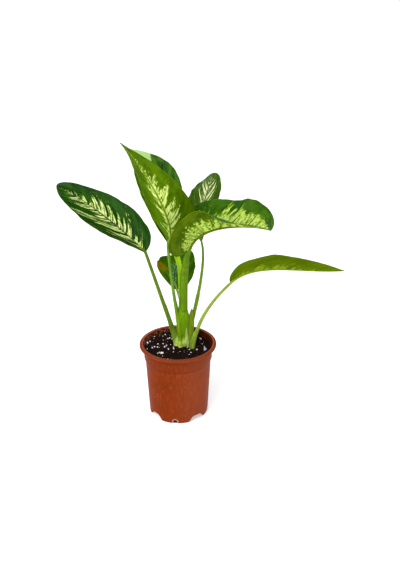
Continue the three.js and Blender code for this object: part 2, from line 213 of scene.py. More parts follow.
# Soft boxes: place, the point that each faces, size, power and tint.
SOFT_BOXES = {
    "key": ((-0.55, -1.1, 1.35), (0, 0, 0.28), 0.4, 10, (0.96, 0.98, 1)),
    "window": ((-0.3, -1.6, 0.42), (-0.05, 0.04, 0.3), 0.3, 4, (0.9, 0.97, 1)),
    "sheen": ((-0.15, 1, 1.5), (0, 0.03, 0.3), 0.8, 8, (0.92, 0.97, 1)),
}


def tone(red, green, blue):
    """A colour given as 0 to 255 on screen, as linear values."""
    values = (red / 255, green / 255, blue / 255)
    return tuple(v / 12.92 if v <= 0.04045 else ((v + 0.055) / 1.055) ** 2.4 for v in values)


def scaled(tint, factor):
    """A colour made darker, or brighter, by a factor."""
    return [c * factor for c in tint]


def mixed(first, second, part):
    """A colour between two others."""
    return [a + (b - a) * part for a, b in zip(first, second)]


def declarer(kind, **limits):
    """A short way to declare properties of one kind."""

    def declare(name, description, default):
        return kind(name=name, description=description, default=default, **limits)

    return declare


length = declarer(FloatProperty, min=0.0, unit="LENGTH", subtype="DISTANCE")
distance = declarer(FloatProperty, unit="LENGTH")
rotation = declarer(FloatProperty, unit="ROTATION", subtype="ANGLE")
share = declarer(FloatProperty, min=0.0, max=1.0, subtype="FACTOR")
amount = declarer(FloatProperty, min=0.0)
number = declarer(IntProperty, min=0)
colour = declarer(FloatVectorProperty, min=0.0, max=1.0, subtype="COLOR")


class PotSettings(PropertyGroup):
    """Sizes and colours of the pot."""

    height: length("Height", "Height of the pot", 0.120)
    rim_radius: length("Rim radius", "Outer radius of the rolled lip", 0.060)
    rim_inner_radius: length("Inner rim radius", "Inner radius at the top", 0.0544)
    lip_height: length("Lip height", "Height of the rolled lip", 0.005)
    band_radius: length("Band radius", "Outer radius just under the lip", 0.0532)
    band_height: length("Band height", "Height of the stacking band with its lip", 0.026)
    band_step: length("Band step", "How far the wall under the band stands back", 0.0019)
    base_radius: length("Base radius", "Outer radius at the foot", 0.0468)
    wall: length("Wall", "Thickness of the wall", 0.0016)
    floor: length("Floor", "Thickness of the floor", 0.0022)
    arch_height: length("Arch height", "Height of the arches between the feet", 0.010)
    arch_bottom: length("Arch foot", "Half width of an arch where it meets the ground", 0.0155)
    arch_top: length("Arch top", "Half width of an arch at its top", 0.0095)
    arch_reach: length("Arch reach", "Radius at which an arch starts", 0.024)
    notch_width: length("Notch width", "Half width of a drain notch", 0.0036)
    notch_height: length("Notch height", "Height of a drain notch", 0.007)
    notch_reach: length("Notch reach", "Radius at which a drain notch starts", 0.0445)
    foot_turn: rotation("Foot turn", "Turn of the feet from the front", math.radians(-5.5))
    plastic: colour("Plastic", "Colour of the moulded plastic", tone(124, 46, 8))
    worn: colour("Worn plastic", "Colour of rubbed streaks", tone(164, 84, 54))
    # Painted sheen: the right side of the pot paler and pinker.
    sheened: colour("Faded plastic", "Colour of the faded right side", tone(154, 74, 46))
    lip: colour("Lip", "Colour of the rolled lip", tone(128, 54, 28))
    # Painted shade: the inside of the pot darkened where shade falls.
    inner_shade: colour("Stained plastic", "Colour of the soiled inside", tone(58, 17, 4))


class SoilSettings(PropertyGroup):
    """Sizes and colours of the potting compost."""

    below_rim: length("Below the rim", "Depth of the soil below the rim", 0.008)
    radius: length("Radius", "Radius of the soil's surface", 0.0512)
    mound: length("Mound", "How much the middle stands over the edge", 0.0015)
    heap: length("Heap", "Height of the heap against the wall at the back left", 0.003)
    clod: length("Clods", "Height of the lumps in the surface", 0.0016)
    perlite_count: number("Perlite", "Number of small white grains", 58)
    crumb_count: number("Crumbs", "Number of bark crumbs", 230)
    seed: number("Seed", "Seed of the scattered grains", 7)
    compost: colour("Compost", "Colour of the moist compost", tone(22, 14, 12))
    bark: colour("Bark", "Colour of the bark and fibre", tone(84, 44, 26))
    perlite: colour("Perlite colour", "Colour of the perlite", tone(255, 253, 250))


class StemSettings(PropertyGroup):
    """Sizes and colours of the stem."""

    across: distance("Across", "Place of the stem along X", 0.008)
    back: distance("Back", "Place of the stem along Y", 0.009)
    foot: length("Foot", "Height of the stem's foot in the soil", 0.094)
    top: length("Top", "Height where the stem ends round the stalks", 0.176)
    swollen: length("Swollen radius", "Radius of the swollen base", 0.0122)
    waist: length("Waist", "Radius over the swollen base", 0.0104)
    slim: length("Slim radius", "Radius at the top", 0.0071)
    young: colour("Young green", "Colour of the upper stem", tone(102, 140, 6))
    # The pale base is partly the cane's own pale tissue and partly a painted highlight.
    pale: colour("Pale base", "Colour of the base at the soil", tone(194, 220, 94))
    dry: colour("Dry sheath", "Colour of dried sheath tips", tone(132, 100, 44))


class LeafSettings(PropertyGroup):
    """Sizes and colours that all leaves share."""

    thickness: length("Thickness", "Thickness of a blade", 0.0006)
    tip_width: length("Tip width", "Half width of a blade at its ends", 0.0004)
    vein_depth: length("Vein depth", "Depth of the side veins", 0.0011)
    vein_count: number("Veins", "Side veins on each half of a blade", 13)
    sweep: share("Sweep", "How far the side veins run towards the tip", 0.26)
    olive: colour("Olive", "Darkest underside", tone(70, 98, 0))
    bright_olive: colour("Bright olive", "Brightest underside", tone(86, 110, 2))
    lime: colour("Lime", "Outer part of the feathering", tone(150, 190, 44))
    cream: colour("Cream", "Inner part of the feathering", tone(222, 232, 140))
    rib: colour("Midrib green", "Colour of the midribs underneath", tone(122, 146, 16))


class StageSettings(PropertyGroup):
    """The floor, the lights and the camera."""

    floor_radius: length("Floor radius", "Radius of the plain floor", 60.0)
    floor_tone: colour("Floor", "Colour of the floor", (0.9, 0.9, 0.9))
    floor_glow: share("Glow", "Light that the floor gives off by itself", 0.38)
    room: share("Room light", "Strength of the light from all round", 0.5)
    overhead: amount("Overhead light", "Strength of the overhead light", 1.3)
    focal: amount("Lens", "Focal length in millimetres", 42.95)
    tilt: rotation("Tilt", "Angle of the camera from straight down", math.radians(66.4))


class Value:
    """A number that varies over a material, which sums can be done with."""

    def __init__(self, graph, socket):
        self.graph = graph
        self.socket = socket

    def __add__(self, other):
        return self.graph.math("ADD", self, other)

    def __sub__(self, other):
        return self.graph.math("SUBTRACT", self, other)

    def __rsub__(self, other):
        return self.graph.math("SUBTRACT", other, self)

    def __mul__(self, other):
        return self.graph.math("MULTIPLY", self, other)

    def __abs__(self):
        return self.graph.math("ABSOLUTE", self)


class Graph:
    """The nodes of one procedural material, round its Principled shader."""

    def __init__(self, name, base, specular):
        self.material = bpy.data.materials.new(name)
        self.material.use_nodes = True
        self.tree = self.material.node_tree
        self.shader = self.tree.nodes["Principled BSDF"]
        self.base = base
        self.feed(self.shader, {"Specular IOR Level": specular})

    def feed(self, node, values):
        """Links sockets to values of the material, or sets their numbers and colours."""
        for key, value in values.items():
            socket = node.inputs[key]
            value = value.socket if isinstance(value, Value) else value
            if isinstance(value, NodeSocket):
                self.tree.links.new(value, socket)
            elif socket.type == "RGBA" and len(value) == 3:
                socket.default_value = (*value, 1)
            else:
                socket.default_value = value

    def node(self, kind, values=(), **settings):
        """A new node with its settings, and values for its sockets in order or by name."""
        made = self.tree.nodes.new("ShaderNode" + kind)
        for key, value in settings.items():
            setattr(made, key, value)
        self.feed(made, values if isinstance(values, dict) else dict(enumerate(values)))
        return made

    def math(self, operation, *values):
        return Value(self, self.node("Math", values, operation=operation).outputs[0])

    def hypot(self, first, second):
        return self.math("SQRT", first * first + second * second)

    def join(self, *values):
        return self.node("CombineXYZ", values).outputs[0]

    def split(self, vector):
        return [Value(self, part) for part in self.node("SeparateXYZ", [vector]).outputs]

    def place(self):
        """The place on the object, in metres."""
        return self.node("TexCoord").outputs["Object"]

    def surface(self, name):
        """The piece's own UV map of that name."""
        return self.node("UVMap", uv_map=name).outputs[0]

    def stored(self, name):
        """A number stored on the mesh."""
        return Value(self, self.node("Attribute", attribute_name=name).outputs["Fac"])

    def noise(self, vector, scale, detail=3, roughness=0.6):
        values = {"Vector": vector, "Scale": scale, "Detail": detail, "Roughness": roughness}
        return Value(self, self.node("TexNoise", values).outputs[0])

    def stretched(self, place, fine, coarse, detail=3):
        """Noise that is fine across the object and drawn out along its height."""
        x, y, z = self.split(place)
        return self.noise(self.join(x * fine, y * fine, z * coarse), 1, detail)

    def ramp(self, value, low, high, start=0, end=1):
        """A smooth change from start to end while value goes from low to high."""
        values = [value, low, high, start, end]
        return Value(self, self.node("MapRange", values, interpolation_type="SMOOTHSTEP").outputs[0])

    def mix(self, part, first, second):
        """A colour between two others."""
        return self.node("Mix", {0: part, 6: first, 7: second}, data_type="RGBA").outputs[2]

    def paint(self, tint, part):
        """Lays a colour over the base colour, in the part that a value gives."""
        self.base = self.mix(part, self.base, tint)

    def bump(self, height, depth, strength):
        made = self.node("Bump", {"Height": height, "Distance": depth, "Strength": strength})
        self.feed(self.shader, {"Normal": made.outputs[0]})

    def finish(self, roughness):
        self.feed(self.shader, {"Base Color": self.base, "Roughness": roughness})
        return self.material


def spun(profile, segments):
    """A bmesh of a profile of (radius, height) pairs turned full round the Z axis."""
    bm = bmesh.new()
    points = [bm.verts.new((radius, 0, height)) for radius, height in profile]
    edges = [bm.edges.new(pair) for pair in zip(points, points[1:])]
    bmesh.ops.spin(
        bm,
        geom=points + edges,
        cent=(0, 0, 0),
        axis=(0, 0, 1),
        angle=FULL_TURN,
        steps=segments,
        use_merge=True,
    )
    bmesh.ops.remove_doubles(bm, verts=bm.verts, dist=MERGE)
    bmesh.ops.recalc_face_normals(bm, faces=bm.faces)
    return bm


def rod(rings, sides):
    """A bmesh of a closed rod of radius 1 and height 1, to be shaped ring by ring."""
    return spun([(0, 0)] + [(1, ring / rings) for ring in range(rings + 1)] + [(0, 1)], sides)


def turned(bm, verts, radians, axis):
    """Turns some of a bmesh's vertices about an axis through the origin."""
    bmesh.ops.rotate(bm, verts=verts, cent=(0, 0, 0), matrix=Matrix.Rotation(radians, 3, axis))


def arc(centre, radius, start, end, steps):
    """Points of a round corner in a profile, from one angle to another in degrees."""
    points = []
    for i in range(steps + 1):
        angle = math.radians(start + (end - start) * i / steps)
        points.append((centre[0] + radius * math.cos(angle), centre[1] + radius * math.sin(angle)))
    return points


def placed(name, data):
    """A new object in the scene, at the origin."""
    made = bpy.data.objects.new(name, data)
    bpy.context.scene.collection.objects.link(made)
    return made


def as_object(name, bm):
    """An object at the origin made of a bmesh."""
    mesh = bpy.data.meshes.new(name)
    bm.to_mesh(mesh)
    bm.free()
    return placed(name, mesh)


def smooth(made, sharp_angle=None):
    """Smooth shading, with edges sharper than an angle in degrees kept."""
    made.data.shade_smooth()
    if sharp_angle is not None:
        made.data.set_sharp_from_angle(angle=math.radians(sharp_angle))


def thicken(made, thickness, offset=0):
    """Gives a sheet its thickness, half of it on each side."""
    step = made.modifiers.new("Solidify", "SOLIDIFY")
    step.thickness = thickness
    step.offset = offset
    return step


def show(made, nodes, materials):
    """Gives a piece its materials and its place in the frame."""
    for material in materials:
        made.data.materials.append(material)
    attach(made, "root")
    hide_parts(*nodes)


def cut(made, others):
    """Cuts other objects out of one, and removes them."""
    for other in others:
        step = made.modifiers.new("Difference", "BOOLEAN")
        step.operation = "DIFFERENCE"
        step.solver = "EXACT"
        step.object = other
    graph = bpy.context.evaluated_depsgraph_get()
    mesh = bpy.data.meshes.new_from_object(made.evaluated_get(graph))
    made.modifiers.clear()
    made.data = mesh
    for other in others:
        bpy.data.objects.remove(other)
    return made


def cubic(controls, t):
    """The value at t of a cubic curve through four numbers or vectors."""
    a, b, c, d = controls
    u = 1 - t
    return a * u**3 + b * (3 * u * u * t) + c * (3 * u * t * t) + d * t**3


def bezier(points, t):
    """A point of a cubic curve in metres, from points in millimetres."""
    return cubic([Vector(p) * MM for p in points], t)


def heading(points, t):
    """The direction of a cubic curve."""
    a, b, c, d = (Vector(p) for p in points)
    u = 1 - t
    return ((b - a) * (u * u) + (c - b) * (2 * u * t) + (d - c) * (t * t)).normalized()


def eased(value, low, high):
    """A smooth step from 0 at low to 1 at high."""
    x = min(max((value - low) / (high - low), 0), 1)
    return x * x * (3 - 2 * x)


def bell(value, middle, width):
    """A soft bump of height 1."""
    return math.exp(-(((value - middle) / width) ** 2))


# The pot

WALL_STEPS = 12
ARCH_STEPS = 8
EDGE_ROUNDING = 0.3 * MM
SHARP_EDGE = math.radians(50)
# Painted highlight along the top of the inner rim.
RIM_HIGHLIGHT = tone(178, 108, 84)
# Painted shadow in the creases under the lip and at the foot of the band.
CREASE_SHADOW = tone(74, 24, 2)
SPECK = tone(206, 150, 120)
BURR = tone(226, 196, 176)
# Painted shadow inside the drain notches.
NOTCH_SHADOW = tone(20, 10, 6)
SCRATCHED = tone(172, 96, 76)


def pot_outside(pot):
    """The outside of the pot as a solid of revolution."""
    band_foot = pot.height - pot.band_height
    lip_foot = pot.height - pot.lip_height
    neck = pot.band_radius - pot.band_step
    corner = 1.6 * MM
    roll = pot.lip_height / 2
    under_lip = lip_foot - 1.2 * MM
    profile = [(0, 0)]
    profile += arc((pot.base_radius - corner, corner), corner, -90, -2, 5)
    for i in range(1, WALL_STEPS):
        rise = i / WALL_STEPS
        profile.append((pot.base_radius + (neck - pot.base_radius) * rise, band_foot * rise))
    profile.append((neck, band_foot - 0.5 * MM))
    profile += arc((neck, band_foot + 1.2 * MM), pot.band_step * 0.62, -80, -20, 4)
    profile += [(pot.band_radius, band_foot + 3 * MM), (pot.band_radius + 0.1 * MM, under_lip)]
    profile += arc((pot.band_radius + 1.6 * MM, under_lip), 1.5 * MM, 180, 96, 4)
    profile += arc((pot.rim_radius - roll, lip_foot + roll), roll, -84, 78, 10)
    profile += [(pot.rim_inner_radius + 1.4 * MM, pot.height), (0, pot.height)]
    return as_object("pot", spun(profile, POT_SEGMENTS))


def pot_inside(pot):
    """The space inside the pot as a solid of revolution."""
    corner = 1.2 * MM
    mouth = pot.rim_inner_radius + corner
    over = pot.height + 1 * MM
    profile = [
        (0, pot.floor),
        (pot.base_radius - 2 * pot.wall, pot.floor),
        (pot.base_radius - pot.wall, pot.floor + pot.wall),
        (pot.band_radius - pot.band_step - pot.wall, pot.height - pot.band_height),
        (pot.band_radius - pot.wall, pot.height - pot.lip_height),
    ]
    profile += arc((mouth, pot.height - corner), corner, 180, 100, 5)
    profile += [(mouth, over), (0, over)]
    return as_object("pot_inside", spun(profile, POT_SEGMENTS))


def arch_outline(pot, margin):
    """The outline of an arch in X and Z, grown by a margin."""
    bottom = pot.arch_bottom + margin
    top = pot.arch_top + margin
    height = pot.arch_height + margin
    shoulder = top + 1.5 * MM
    corners = ((bottom, 0), (shoulder, height * 0.3), (shoulder, height), (top - 4 * MM, height))
    controls = [Vector(corner) for corner in corners]
    side = [tuple(cubic(controls, i / ARCH_STEPS)) for i in range(ARCH_STEPS + 1)]
    right = [(bottom, -1 * MM)] + side
    return right + [(-x, z) for x, z in reversed(right)]


def notch_outline(pot):
    """The outline of a drain notch in X and Z: straight sides and a round top."""
    half = pot.notch_width
    side = arc((0, pot.notch_height - half), half, 0, 180, 12)
    return [(half, -1 * MM)] + side + [(-half, -1 * MM)]


def round_base(pot, name, outline, reach, turn):
    """Copies of an outline pushed outwards from a radius, one for each foot, from a first turn on."""
    bm = bmesh.new()
    face = bm.faces.new([bm.verts.new((x, -reach, z)) for x, z in outline])
    pushed = bmesh.ops.extrude_face_region(bm, geom=[face])["geom"]
    moved = [part for part in pushed if isinstance(part, bmesh.types.BMVert)]
    bmesh.ops.translate(bm, verts=moved, vec=(0, reach - pot.rim_radius - 4 * MM, 0))
    first = list(bm.verts) + list(bm.edges) + list(bm.faces)
    turned(bm, bm.verts, turn, "Z")
    for k in range(1, FOOT_COUNT):
        copied = bmesh.ops.duplicate(bm, geom=first)["geom"]
        corners = [part for part in copied if isinstance(part, bmesh.types.BMVert)]
        turned(bm, corners, FULL_TURN * k / FOOT_COUNT, "Z")
    bmesh.ops.recalc_face_normals(bm, faces=bm.faces)
    return as_object(name, bm)


def round_arches(pot, name, margin):
    """The spaces under the four arches, grown by a margin."""
    between = pot.foot_turn + math.pi / FOOT_COUNT
    return round_base(pot, name, arch_outline(pot, margin), pot.arch_reach - margin, between)


def plastic(pot):
    """Terracotta coloured plastic: mottled and scuffed, and pale round the notches, with painted shade
    inside, on the band, in its creases and in the notches, a painted highlight on the inner rim and a
    painted sheen on the right side.
    """
    g = Graph("terracotta_plastic", pot.plastic, 0.02)
    place = g.place()
    x, y, z = g.split(place)
    radius = g.hypot(x, y)
    rim = pot.rim_inner_radius
    band_foot = pot.height - pot.band_height
    lip_foot = pot.height - pot.lip_height

    cloud = g.noise(place, 28, 4)
    fine = g.noise(place, 900)
    g.paint(scaled(pot.plastic, 0.86), g.ramp(cloud, 0.35, 0.7))
    # Painted sheen: the right side paler and pinker.
    g.paint(pot.sheened, g.ramp(x + cloud * 0.02, -0.01, 0.05, 0, 0.5))
    # Painted shade: the stacking band darker from its foot up to the lip.
    g.paint(scaled(pot.plastic, 0.72), g.ramp(z, band_foot - 2 * MM, band_foot + 3 * MM, 0, 0.3))
    g.paint(pot.lip, g.ramp(z, lip_foot, pot.height - 0.8 * MM, 0, 0.85))
    # Painted highlight: a pale line along the top of the inner rim.
    rim_highlight = g.ramp(radius, rim + 0.8 * MM, rim + 2.2 * MM, 0.6, 0)
    g.paint(RIM_HIGHLIGHT, rim_highlight * g.ramp(z, pot.height - 1.2 * MM, pot.height - 0.3 * MM))
    # Painted shadow: dark lines in the crease at the band's foot and under the lip.
    for crease in (band_foot, lip_foot - 0.4 * MM):
        g.paint(CREASE_SHADOW, g.ramp(abs(z - crease), 0.5 * MM, 1.9 * MM, 0.55, 0))
    streaks = g.stretched(place, 420, 70, 4)
    g.paint(pot.worn, g.ramp(streaks, 0.48, 0.8, 0, 0.32))
    g.paint(scaled(pot.plastic, 0.7), g.ramp(streaks, 0.48, 0.25, 0, 0.35))
    g.paint(SPECK, g.ramp(g.noise(place, 420, 2, 0.5), 0.68, 0.76, 0, 0.35))

    turn = {"Vector": place, "Angle": -pot.foot_turn}
    across, back, up = g.split(g.node("VectorRotate", turn, rotation_type="Z_AXIS").outputs[0])
    beside = g.math("MINIMUM", abs(across), abs(back))
    above = g.math("MAXIMUM", up - (pot.notch_height - pot.notch_width), 0)
    away = g.hypot(beside, above)
    low = g.ramp(up, pot.notch_height + 1 * MM, pot.notch_height + 2.5 * MM, 1, 0)
    burr = g.ramp(away, pot.notch_width + 0.5 * MM, pot.notch_width + 1.6 * MM, 0.9, 0)
    g.paint(BURR, burr * low * g.ramp(fine, 0.3, 0.6))
    # Painted shadow: the cut faces in the drain notches near black.
    notch_shade = g.ramp(radius, pot.base_radius - 0.9 * MM, pot.base_radius - 0.2 * MM, 0.95, 0)
    g.paint(NOTCH_SHADOW, notch_shade * g.math("LESS_THAN", away, pot.notch_width + 0.3 * MM) * low)

    # Painted shade: the inner wall darkened, a little less towards the rim, with a ragged edge.
    limit = g.ramp(z, lip_foot, pot.height, pot.band_radius - pot.wall / 2, rim + 0.4 * MM)
    inside = g.math("LESS_THAN", radius, limit) * g.ramp(z, band_foot, band_foot + 2 * MM)
    shade_line = z + g.noise(place, 160, 4, 0.65) * 0.008
    g.paint(pot.inner_shade, g.ramp(shade_line, pot.height + 1 * MM, pot.height + 5 * MM, 0.92, 0.6) * inside)
    rubbed = g.ramp(heapward(x, y), 0.022, 0.042) * g.ramp(g.noise(place, 330), 0.47, 0.6, 0, 0.7)
    g.paint(SCRATCHED, rubbed * inside)
    g.bump(fine + cloud * 2, 0.00018, 0.5)
    return g.finish(g.ramp(streaks, 0.3, 0.8, 0.36, 0.5))


class PLANT_OT_pot(Operator):
    """Makes the nursery pot with its rolled lip, stacking band, arched feet and drain notches."""

    bl_idname = "plant.pot"
    bl_label = "Pot"

    def execute(self, context):
        pot = context.scene.plant_pot
        arches = round_arches(pot, "arches", 0)
        roofs = round_arches(pot, "roofs", pot.wall)
        notches = round_base(pot, "notches", notch_outline(pot), pot.notch_reach, pot.foot_turn)
        made = cut(pot_outside(pot), [arches, cut(pot_inside(pot), [roofs]), notches])
        bevel = made.modifiers.new("Bevel", "BEVEL")
        bevel.width = EDGE_ROUNDING
        bevel.segments = 2
        bevel.limit_method = "ANGLE"
        bevel.angle_limit = SHARP_EDGE
        made.name = "nursery_pot"
        smooth(made, 38)
        show(made, ["pot"], [plastic(pot)])
        return {"FINISHED"}


# The soil

SOIL_GAP = 0.3 * MM
HEAP_ACROSS = -0.75
HEAP_BACK = 0.66
HEAP_START = 0.010
HEAP_END = 0.050
GRAIN_SIZES = (0.45 * MM, 1.6 * MM)
GRAIN_FLATNESS = 0.8
LARGE_LIFT = 0.5 * MM
BIG_GRAIN = 2
BIG_FLATNESS = 0.5
CRUMB_SIZES = (0.5 * MM, 1.9 * MM)
CRUMB_FLATNESS = 0.45
CORNER_SHIFT = (0.72, 1.12)
WALL_MARGIN = 2.2 * MM
STEM_MARGIN = 1.5 * MM
MOSTLY_SMALL = 2.4
FLAKE_PLACE = (42.5 * MM, -9.5 * MM)
FLAKE_SIZE = 5.4 * MM
FLAKE_LEAN = math.radians(58)
FLAKE_TURN = math.radians(38)
FLAKE_GREY = tone(204, 198, 208)
FLAKE_SHADOW = tone(150, 146, 150)


def heapward(x, y):
    """How far a place lies towards the back left, where the soil is heaped."""
    return y * HEAP_BACK + x * HEAP_ACROSS


def soil_top(soil, pot, x, y):
    """The height of the soil's surface at a place, without its clods."""
    fall = min(math.hypot(x, y) / soil.radius, 1)
    heap = soil.heap * eased(heapward(x, y), HEAP_START, HEAP_END)
    return pot.height - soil.below_rim - soil.mound * fall**2 + heap


def soil_body(soil, pot):
    """The filling of the pot: closed, with a cloddy top, and hollowed over the arches of the base."""
    surface = pot.height - soil.below_rim
    floor = pot.floor + SOIL_GAP
    low = pot.base_radius - pot.wall - SOIL_GAP
    profile = [
        (0, floor),
        (low - pot.wall, floor),
        (low, floor + pot.wall),
        (pot.band_radius - pot.band_step - pot.wall - SOIL_GAP, pot.height - pot.band_height),
        (soil.radius - 0.2 * MM, surface - soil.mound - 2 * MM),
    ]
    profile += [(soil.radius * (1 - i / SOIL_RINGS), surface) for i in range(SOIL_RINGS + 1)]
    bm = spun(profile, SOIL_SEGMENTS)
    for vert in bm.verts:
        x, y, z = vert.co
        if z < surface - MERGE:
            continue
        lumps = 0.55 * noise.fractal(vert.co * 190, 0.9, 2.1, 4) + 0.3 * noise.noise(vert.co * 520)
        inside = math.hypot(x, y) < soil.radius - 0.1 * MM
        vert.co.z = soil_top(soil, pot, x, y) + (soil.clod * lumps if inside else 0)
    return cut(as_object("potting_soil", bm), [round_arches(pot, "roofs", pot.wall + SOIL_GAP)])


def compost(soil):
    """Moist compost: near black, with brown fibre and small glints."""
    g = Graph("compost", soil.compost, 0)
    place = g.place()
    clods = g.noise(place, 260, 5, 0.65)
    fibre = g.noise(place, 900, 4, 0.7)
    g.paint(scaled(soil.compost, 2.2), g.ramp(clods, 0.35, 0.7))
    g.paint(soil.bark, g.ramp(fibre, 0.6, 0.75, 0, 0.7))
    g.bump(clods + fibre, 0.0009, 0.9)
    return g.finish(g.ramp(fibre, 0.4, 0.6, 0.55, 0.9))


def rough_stuff(name, first, second, scale):
    """Broken bits of one stuff in two tones."""
    g = Graph(name, first, 0.3)
    place = g.place()
    g.paint(second, g.ramp(g.noise(place, scale), 0.4, 0.62))
    g.bump(g.noise(place, scale * 4, 2), 0.0003, 0.7)
    return g.finish(0.85)


def lump(bm, rng, place, size, flat):
    """One broken grain: a small icosphere with its corners shifted."""
    made = bmesh.ops.create_icosphere(bm, subdivisions=1, radius=size)["verts"]
    for vert in made:
        vert.co *= rng.uniform(*CORNER_SHIFT)
        vert.co.z *= flat
    turn = Quaternion((rng.uniform(-1, 1), rng.uniform(-1, 1), 1), rng.uniform(0, FULL_TURN)).to_matrix()
    bmesh.ops.rotate(bm, verts=made, cent=(0, 0, 0), matrix=turn)
    bmesh.ops.translate(bm, verts=made, vec=place)


def scatter(soil, pot, stem, rng, count, sizes, flat, leaning):
    """A bmesh of grains strewn over the soil outside the stem, more of them where leaning says."""
    bm = bmesh.new()
    made = 0
    while made < count:
        angle = rng.uniform(0, FULL_TURN)
        reach = (soil.radius - WALL_MARGIN) * math.sqrt(rng.random())
        x, y = reach * math.cos(angle), reach * math.sin(angle)
        beside = math.hypot(x - stem.across, y - stem.back) > stem.swollen + STEM_MARGIN
        if not beside or rng.random() > leaning(x, y):
            continue
        size = sizes[0] + (sizes[1] - sizes[0]) * rng.random() ** MOSTLY_SMALL
        lump(bm, rng, (x, y, soil_top(soil, pot, x, y) + 0.15 * size), size, flat)
        made += 1
    return bm


def flake(soil, pot):
    """A thin pale chip that stands in the soil near the wall."""
    bm = bmesh.new()
    bmesh.ops.create_circle(bm, cap_ends=True, segments=3, radius=FLAKE_SIZE)
    bmesh.ops.scale(bm, verts=bm.verts, vec=(0.75, 1.0, 1.0))
    bmesh.ops.subdivide_edges(bm, edges=bm.edges, cuts=3, use_grid_fill=True)
    for vert in bm.verts:
        vert.co.z += 0.4 * MM * noise.noise(vert.co * 400)
    turned(bm, bm.verts, FLAKE_LEAN, "X")
    turned(bm, bm.verts, FLAKE_TURN, "Z")
    height = pot.height - soil.below_rim
    bmesh.ops.translate(bm, verts=bm.verts, vec=(*FLAKE_PLACE, height + 0.6 * MM))
    made = as_object("pale_flake", bm)
    thicken(made, 0.7 * MM, -1)
    return made


class PLANT_OT_soil(Operator):
    """Fills the pot with compost, perlite, bark crumbs and one pale flake."""

    bl_idname = "plant.soil"
    bl_label = "Soil"

    def execute(self, context):
        pot, soil, stem = (getattr(context.scene, "plant_" + n) for n in ("pot", "soil", "stem"))
        rng = random.Random(soil.seed)
        body = soil_body(soil, pot)
        smooth(body, 60)
        show(body, ["soil"], [compost(soil)])

        def front_bare(x, y):
            return (1.0 if x < 0.004 else 0.3) * (1.0 if y > -0.022 else 0.4)

        def back_left(x, y):
            return 1.0 if y > 0.02 and x < 0.01 else 0.35

        white = scatter(soil, pot, stem, rng, soil.perlite_count, GRAIN_SIZES, GRAIN_FLATNESS, front_bare)
        for across, back, size in LARGE_GRAINS:
            x, y = across * MM, back * MM
            flat = GRAIN_FLATNESS if size < BIG_GRAIN else BIG_FLATNESS
            lump(white, rng, (x, y, soil_top(soil, pot, x, y) + LARGE_LIFT), size * MM, flat)
        brown = scatter(soil, pot, stem, rng, soil.crumb_count, CRUMB_SIZES, CRUMB_FLATNESS, back_left)
        white_stuff = rough_stuff("perlite", soil.perlite, scaled(soil.perlite, 0.88), 700)
        show(as_object("perlite_grains", white), ["soil"], [white_stuff])
        brown_stuff = rough_stuff("bark", scaled(soil.bark, 0.3), soil.bark, 500)
        show(as_object("bark_crumbs", brown), ["soil"], [brown_stuff])
        grey_stuff = rough_stuff("grey_flake", FLAKE_GREY, FLAKE_SHADOW, 600)
        show(flake(soil, pot), ["soil"], [grey_stuff])
        return {"FINISHED"}


# The stem

SWELLING = (0.108, 0.119)
NARROWING = (0.118, 0.134)
DRAWN_IN = 0.022
LET_GO = 0.016
STALK_SPAN = 0.15
STALK_GRIP = 1.3
RINGED_TO = (0.120, 0.135)
RING_SPACING = 7 * MM
RING_DEPTH = 0.03
FRONT_SHEATH = (0.1095, 0.145)
FRONT_SHEATH_MIDDLE = 30
FRONT_SHEATH_HALF = 13
STREAK = tone(172, 200, 40)
PAPERY_FOOT = tone(202, 218, 126)
PAPERY_TOP = tone(176, 200, 110)


def stem_reach(stem, height):
    """The radius of the cane at a height: swollen at the soil, then even, and drawn in at its top."""
    out = stem.swollen * (0.74 + 0.26 * eased(height, *SWELLING))
    out += (stem.waist - out) * eased(height, *NARROWING)
    return out + (stem.slim - out) * eased(height, stem.top - DRAWN_IN, stem.top)


def hold(stem, leaf, height, angle):
    """How far the cane reaches out round a stalk, at a height and in a direction."""
    foot = leaf["stalk"][0][2] * MM
    rise = min(max((height - foot) / STALK_SPAN, 0), 1)
    centre = bezier(leaf["stalk"], rise)
    across, back = centre.x - stem.across, centre.y - stem.back
    off = math.hypot(across, back)
    turn = angle - math.atan2(back, across)
    leaving = eased(off, stem.waist + 0.8 * MM, stem.waist + 3 * MM)
    ending = eased(height, stem.top - LET_GO, stem.top)
    girth = leaf["radii"][0] * MM * STALK_GRIP * (1 - leaving) * (1 - ending)
    aside = off * math.sin(turn)
    if math.cos(turn) <= 0 or abs(aside) >= girth:
        return 0
    return off * math.cos(turn) + math.sqrt(girth**2 - aside**2)


def stem_body(stem):
    """The short cane: it swells round the feet of the stalks, and has rings near the soil."""
    soft = 1 * MM
    profile = [(0, stem.foot)]
    for i in range(CANE_ROWS + 1):
        profile.append((stem.waist, stem.foot + (stem.top - stem.foot) * i / CANE_ROWS))
    profile.append((0, stem.top + 0.6 * MM))
    bm = spun(profile, CANE_SEGMENTS)
    for vert in bm.verts:
        x, y, height = vert.co
        if math.hypot(x, y) < MERGE:
            continue
        angle = math.atan2(y, x)
        reach = stem_reach(stem, height) * (1 + 0.03 * math.cos(3 * angle + 1.2))
        for leaf in LEAVES.values():
            held = hold(stem, leaf, height, angle)
            reach = (reach + held + math.sqrt((reach - held) ** 2 + soft**2)) / 2 if held else reach
        ringed = 1 - eased(height, *RINGED_TO)
        reach *= 1 - RING_DEPTH * ringed * bell((height / RING_SPACING) % 1, 0.5, 0.16)
        vert.co.x, vert.co.y = reach * math.cos(angle), reach * math.sin(angle)
    bmesh.ops.translate(bm, verts=bm.verts, vec=(stem.across, stem.back, 0))
    return as_object("cane", bm)


